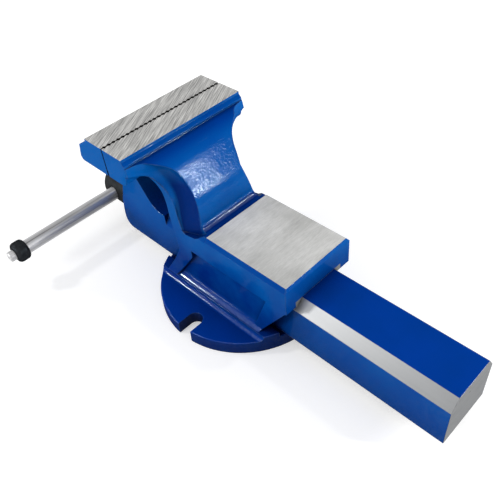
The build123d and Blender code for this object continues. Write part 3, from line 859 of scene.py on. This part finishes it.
@dataclass
class SlidingCasting:
    """The sliding casting: jaw block, neck, front wall and hollow slide bar."""

    jaw_top: float = 180.5 * MM
    jaw_seam_x: float = -105.8 * MM
    seam_span: Span = (1.5 * MM, 3.0 * MM)
    bar_half: float = 31.3 * MM
    bar_top: float = 74.2 * MM
    bar_bottom: float = 15.7 * MM
    bevel_y: float = 8.3 * MM
    bevel_z: float = 12.7 * MM
    bare_from_x: float = -20.0 * MM
    # where the painted shade on the bevels begins
    rear_shade_from_x: float = 120.0 * MM
    rear_x: float = 261.7 * MM
    hollow_half: float = 22.5 * MM
    hollow_roof: float = 65.4 * MM
    hollow_x: Span = (-146.6 * MM, 249.9 * MM)
    centre_mark: tuple[float, float] = (-3.7 * MM, 61.0 * MM)
    mark_flatness: float = 2.0
    mark_span: Span = (2.2 * MM, 1.2 * MM)
    edge_round: float = 0.9 * MM
    worn_and_highlit_edge: float = 0.5 * MM

    def bevel(self, side: Value, z: Value) -> Value:
        """Finds the ground bevels on the bar's upper corners.

        Args:
            side: distance from the middle plane.
            z: height.

        Returns:
            Their mask.
        """
        run = math.hypot(self.bevel_y, self.bevel_z)
        across, up = self.bevel_z / run, self.bevel_y / run
        away = (side - self.bar_half) * across + (z - (self.bar_top - self.bevel_z)) * up
        return abs(away).short_of(FACE_DEPTH)

    def machined(self, x: Value, side: Value, z: Value) -> Value:
        """Finds the inside of the hollow bar and its underside, which were never painted.

        Args:
            x: place along the slide.
            side: distance from the middle plane.
            z: height.

        Returns:
            Their mask.
        """
        front, back = self.hollow_x
        hollow = side.short_of(self.hollow_half) * z.short_of(self.hollow_roof)
        hollow = hollow * x.past(front) * x.short_of(back)
        return hollow.either(z.short_of(self.bar_bottom + FACE_DEPTH))

    def mark(self, y: Value, z: Value) -> Value:
        """Finds the small centre mark in the bar's rear end.

        Args:
            y: place across.
            z: height.

        Returns:
            Its mask.
        """
        mark_y, mark_z = self.centre_mark
        away = abs(y - mark_y) + self.mark_flatness * abs(z - mark_z)
        return away.beyond(*self.mark_span)

    def dress(self) -> None:
        """Paints the casting and bares its ground and machined faces."""
        surface = Surface.named("enamelled_sliding_casting")
        x, y, z = surface.axes()
        side = abs(y)
        land = z.past(self.jaw_top - FACE_DEPTH)
        ground = self.bevel(side, z) * x.past(self.bare_from_x)
        rear = x.past(self.rear_x - FACE_DEPTH)
        look = SLIDE_ENAMEL.look(surface, surface.edge(self.worn_and_highlit_edge) * (1.0 - land))
        look = look.under(BareIron().look(surface), self.machined(x, side, z))
        look = look.under(WAY_STEEL.look(surface), ground)
        # painted shade: the ground bevels darken toward the rear end
        rear_shade = ground * x.beyond(self.rear_shade_from_x, self.rear_x)
        look = look.under(WAY_SHADED_END_STEEL.look(surface), rear_shade)
        look = look.under(END_STEEL.look(surface), rear)
        look = look.under(BLACK_OXIDE.look(surface), rear * self.mark(y, z))
        look = look.under(JAW_STEEL.look(surface), land)
        apart = abs(x - self.jaw_seam_x).beyond(*self.seam_span)
        normal = surface.partly_rounded(self.edge_round, apart * (1.0 - land) * (1.0 - ground))
        dress(look.finish(NO_SPECULAR, normal), "sliding_jaw")


@dataclass
class JawPlates:
    """The two serrated gripping plates with their screws."""

    top: float = 180.5 * MM
    half_width: float = 75.0 * MM
    screw_round: float = 0.5 * MM

    def dress(self) -> None:
        """Grinds the plates' tops, paints their ends and blackens their screws."""
        surface = Surface.named("ground_jaw_plate")
        _, y, z = surface.axes()
        # painted shade on the serrated gripping faces
        look = SHADED_TOOTH_STEEL.look(surface)
        look = look.under(Enamel().look(surface), abs(y).past(self.half_width - FACE_DEPTH))
        look = look.under(JAW_STEEL.look(surface), z.past(self.top - FACE_DEPTH))
        dress(look.finish(NO_SPECULAR), "fixed_jaw_plate", "sliding_jaw_plate")
        black = plain_material("black_plate_screw", BLACK_OXIDE, edge_round=self.screw_round)
        dress(black, "fixed_plate_screws", "sliding_plate_screws")


@dataclass
class Nut:
    """The nut that is let into the base, with its four screws."""

    edge_round: float = 0.8 * MM
    screw_round: float = 0.5 * MM

    def dress(self) -> None:
        """Gives the nut its raw iron and the screws their black oxide."""
        dress(plain_material("nut_raw_iron", BareIron(), edge_round=self.edge_round), "nut_block")
        black = plain_material("black_nut_screw", BLACK_OXIDE, edge_round=self.screw_round)
        dress(black, "nut_screws")


@dataclass
class Spindle:
    """The lead screw with its cut thread, the black head and the parts of its bearing."""

    axis_z: float = 45.0 * MM
    stub_x: float = -185.6 * MM
    stub_r: float = 12.0 * MM
    stub_bevel: float = 0.5 * MM
    head_x: float = -173.1 * MM
    journal_r: float = 13.0 * MM
    thread_x: float = -119.2 * MM
    thread_end_x: float = 235.0 * MM
    thread_start: float = 2.0 * MM
    crest_r: float = 12.0 * MM
    root_r: float = 9.3 * MM
    pitch: float = 5.0 * MM
    root_share: float = 0.36
    flank_share: float = 0.28
    end_bevel: float = 3.0 * MM
    around: int = 36
    steps_per_turn: int = 10
    sharp_angle: float = 32.0
    head_round: float = 1.0 * MM

    def thread_r(self, x: float, turn: float) -> float:
        """Works out the screw's radius at a place on its thread.

        Args:
            x: place along the axis, in metres.
            turn: place round the axis, in turns.

        Returns:
            The radius, in metres.
        """
        phase = (x / self.pitch - turn) % 1.0
        away = abs(phase - 0.5) * 2.0
        flank = min(max((away - self.root_share) / self.flank_share, 0.0), 1.0)
        thread = self.root_r + (self.crest_r - self.root_r) * flank
        started = min((x - self.thread_x) / self.thread_start, 1.0)
        bevel = self.crest_r - max(0.0, x - (self.thread_end_x - self.end_bevel))
        reached = self.journal_r + (thread - self.journal_r) * started
        return min(reached, max(bevel, self.journal_r * (1.0 - started)))

    def stations(self) -> list[tuple[float, float | None]]:
        """Lists where the screw's rings lie.

        Returns:
            Each ring's place along the axis and its radius, or None where it is on the thread.
        """
        length = self.thread_end_x - self.thread_x
        count = int(length / self.pitch * self.steps_per_turn)
        return [
            (self.stub_x, self.stub_r - self.stub_bevel),
            (self.stub_x + self.stub_bevel, self.stub_r),
            (self.head_x, self.stub_r),
            (self.head_x, self.journal_r),
            (self.thread_x, self.journal_r),
            *((self.thread_x + length * step / count, None) for step in range(count + 1)),
        ]

    def rod(self) -> bpy.types.Object:
        """Builds the screw as one closed mesh.

        Returns:
            The new object, in place.
        """
        mesh = bmesh.new()
        rings = []
        for x, radius in self.stations():
            ring = []
            for index in range(self.around):
                turn = index / self.around
                r = radius if radius is not None else self.thread_r(x, turn)
                angle = 2.0 * math.pi * turn
                place = (x, r * math.cos(angle), self.axis_z + r * math.sin(angle))
                ring.append(mesh.verts.new(place))
            rings.append(ring)
        for before, after in zip(rings, rings[1:]):
            for index in range(self.around):
                following = (index + 1) % self.around
                corners = (before[index], before[following], after[following], after[index])
                mesh.faces.new(corners)
        mesh.faces.new(rings[0][::-1])
        mesh.faces.new(rings[-1])
        bmesh.ops.recalc_face_normals(mesh, faces=mesh.faces)
        screw = put_in_scene("lead_screw_with_thread", mesh)
        screw.data.set_sharp_from_angle(angle=math.radians(self.sharp_angle))
        return screw

    def dress(self) -> None:
        """Cuts the thread, blackens the head and brightens the bearing's parts."""
        bright = plain_material("turned_spindle_steel", BRIGHT_STEEL)
        screw = self.rod()
        screw.data.materials.append(bright)
        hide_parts("lead_screw")
        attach(screw, "spindle")
        dress(bright, "thrust_washer", "spring_seat", "head_pin", "retaining_collar", "collar_pin")
        dress(plain_material("tempered_spring_steel", SPRING_STEEL), "spindle_spring")
        head = plain_material("black_spindle_head", BLACK_HEAD, NO_SPECULAR, self.head_round)
        dress(head, "spindle_head")


@dataclass
class Handle:
    """The sliding cross handle with a rubber ring near each tip."""

    tip_round: float = 0.6 * MM

    def dress(self) -> None:
        """Plates the bar and gives the rings their rubber."""
        # streaky plating with painted reflection bands
        plated = plain_material("plated_handle_bar", PLATED_STEEL_PAINTED_BANDS, edge_round=self.tip_round)
        dress(plated, "handle_bar")
        rubber = plain_material("moulded_ring_rubber", MouldedRubber(), NO_SPECULAR)
        dress(rubber, "near_handle_ring", "far_handle_ring")


def put_in_scene(name: str, mesh: bmesh.types.BMesh) -> bpy.types.Object:
    """Turns a mesh into an object of the scene, and frees the mesh.

    Args:
        name: the object's name.
        mesh: its mesh.

    Returns:
        The object.
    """
    data = bpy.data.meshes.new(name)
    mesh.to_mesh(data)
    mesh.free()
    made = bpy.data.objects.new(name, data)
    bpy.context.scene.collection.objects.link(made)
    return made


@dataclass(frozen=True)
class Lamp:
    """One soft rectangular lamp."""

    name: str
    place: Point
    size: tuple[float, float]
    power: float

    def hang(self, aim: Point) -> None:
        """Hangs the lamp where the camera doesn't see it.

        Args:
            aim: the point it faces.
        """
        light = bpy.data.lights.new(self.name, "AREA")
        light.shape = "RECTANGLE"
        light.size, light.size_y = self.size
        light.energy = self.power
        lamp = bpy.data.objects.new(self.name, light)
        lamp.location = self.place
        towards = Vector(aim) - Vector(self.place)
        lamp.rotation_euler = towards.to_track_quat("-Z", "Y").to_euler()
        lamp.visible_camera = False
        bpy.context.scene.collection.objects.link(lamp)


LAMPS = (
    Lamp("tall_lamp", (1.56, 0.83, 0.50), (0.10, 0.23), 16.0),
    Lamp("tall_glow", (1.58, 0.87, 0.55), (0.24, 0.46), 9.0),
    Lamp("high_lamp", (0.92, 0.92, 1.46), (0.11, 0.11), 3.2),
    Lamp("left_lamp", (-1.16, -0.81, 1.35), (0.15, 0.15), 6.0),
    Lamp("side_lamp", (-0.98, -1.50, 0.27), (0.20, 0.18), 7.2),
    Lamp("near_lamp", (-0.30, -1.55, 0.95), (0.50, 0.40), 8.0),
)


@dataclass
class Studio:
    """A pale floor, soft lamps and the camera."""

    floor_half: float = 6.0
    floor_drop: float = 0.4 * MM
    floor_colour: Colour = (0.82, 0.82, 0.82)
    floor_lift: float = 0.64
    near_glow: Colour = (0.60, 0.60, 0.60)
    far_glow: Colour = (1.0, 1.0, 1.0)
    glow_span: Span = (0.8, 2.6)
    world_light: float = 0.54
    lamps_aim: Point = (0.0, 0.0, 0.09)
    lens: float = 43.53
    sensor: float = 36.0
    clip_start: float = 10.0 * MM
    camera_place: Point = (0.34756, -0.29128, 0.48942)
    azimuth: float = 49.0
    elevation: float = 44.05
    roll: float = -6.57

    def floor(self) -> None:
        """Lays the floor, white to the eye but for the object's shadow."""
        mesh = bmesh.new()
        bmesh.ops.create_grid(mesh, x_segments=2, y_segments=2, size=self.floor_half)
        floor = put_in_scene("studio_floor", mesh)
        floor.location.z = -self.floor_drop
        surface = Surface.named("pale_studio_floor")
        cloth = surface.node("ShaderNodeBsdfDiffuse", sockets={"Color": (*self.floor_colour, 1.0)})
        length = {"operation": "LENGTH"}
        away = surface.node("ShaderNodeVectorMath", length, {0: surface.place()}, output="Value")
        tint = surface.shade(away.beyond(*self.glow_span), self.near_glow, self.far_glow)
        lift = surface.background() * self.floor_lift
        glow = surface.node("ShaderNodeEmission", sockets={"Color": tint, "Strength": lift})
        both = surface.node("ShaderNodeAddShader", sockets={0: cloth, 1: glow})
        floor.data.materials.append(surface.close(both))

    def sky(self) -> None:
        """Sets the world: white to the eye and in reflections, plain soft light otherwise."""
        world = bpy.data.worlds.new("studio_world")
        bpy.context.scene.world = world
        sky = Surface(world)
        range_ends = {"Value": sky.background(), "To Min": self.world_light}
        strength = sky.node("ShaderNodeMapRange", sockets=range_ends)
        white = {"Color": (1.0, 1.0, 1.0, 1.0), "Strength": strength}
        light = sky.node("ShaderNodeBackground", sockets=white)
        sky.add("ShaderNodeOutputWorld", sockets={"Surface": light})

    def camera(self) -> None:
        """Sets up the camera."""
        a, e, r = (math.radians(angle) for angle in (self.azimuth, self.elevation, self.roll))
        back = Vector((math.sin(a) * math.cos(e), -math.cos(a) * math.cos(e), math.sin(e)))
        right = (-back).cross(Vector((0.0, 0.0, 1.0))).normalized()
        up = right.cross(-back)
        turned_right = math.cos(r) * right + math.sin(r) * up
        turned_up = -math.sin(r) * right + math.cos(r) * up
        place = Matrix((turned_right, turned_up, back)).transposed().to_4x4()
        place.translation = Vector(self.camera_place)
        data = bpy.data.cameras.new("studio_camera")
        data.lens = self.lens
        data.sensor_width = self.sensor
        data.clip_start = self.clip_start
        camera = bpy.data.objects.new("studio_camera", data)
        camera.matrix_world = place
        bpy.context.scene.collection.objects.link(camera)
        bpy.context.scene.camera = camera

    def build(self) -> None:
        """Sets the whole studio."""
        self.floor()
        self.sky()
        for lamp in LAMPS:
            lamp.hang(self.lamps_aim)
        self.camera()
        bpy.context.scene.view_settings.view_transform = "Standard"


def main() -> None:
    """Builds and dresses each sub-assembly."""
    logging.basicConfig(level=logging.INFO, format="%(name)s: %(message)s")
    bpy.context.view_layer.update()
    for piece in (BodyCasting(), SlidingCasting(), JawPlates(), Nut(), Spindle(), Handle()):
        piece.dress()
        report.info("dressed %s", type(piece).__name__)
    Studio().build()
    report.info("set up the studio")


if __name__ == "__main__":
    main()
